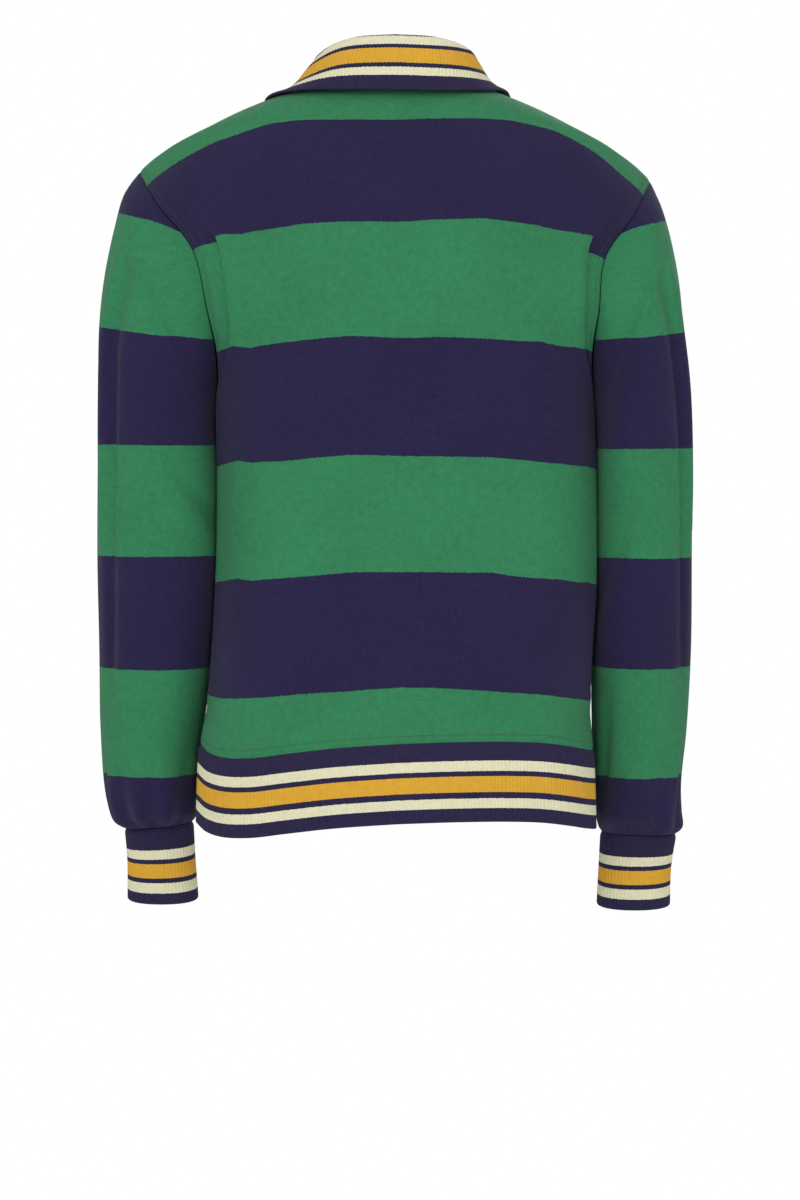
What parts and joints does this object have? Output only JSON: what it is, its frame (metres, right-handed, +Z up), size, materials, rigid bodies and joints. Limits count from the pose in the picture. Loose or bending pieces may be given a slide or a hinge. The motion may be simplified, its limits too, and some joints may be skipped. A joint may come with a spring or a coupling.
{
  "type": "polo shirt",
  "caption": "Long-sleeved hooped polo shirt with a rib-knitted fold-over collar, hem band and cuffs and a plain half placket, in its worn hollow shape, carried on the shoulders",
  "frame": {"origin": "middle of the neck opening, level with the high points of the shoulders, where the wearer carries the shirt", "axes": "+Z up, +X towards the wearer's left, +Y towards the wearer's back"},
  "size_m": [0.5342, 0.2466, 0.7807],
  "materials": {
    "hooped_jersey": "heavy cotton jersey in wide bottle-green and navy hoops",
    "rib_knit": "rib-knitted navy cotton with cream and orange bands",
    "placket_jersey": "plain navy cotton jersey",
    "button_plastic": "navy plastic with a soft sheen"
  },
  "bodies": {
    "root": {"back": "hooped_jersey", "front": "hooped_jersey", "sleeve_left": "hooped_jersey", "sleeve_right": "hooped_jersey", "collar": "rib_knit", "hem_band": "rib_knit", "cuff_left": "rib_knit", "cuff_right": "rib_knit", "placket_top": "placket_jersey", "placket_under": "placket_jersey", "button_1": "button_plastic", "button_2": "button_plastic", "button_3": "button_plastic"}
  },
  "joints": []
}
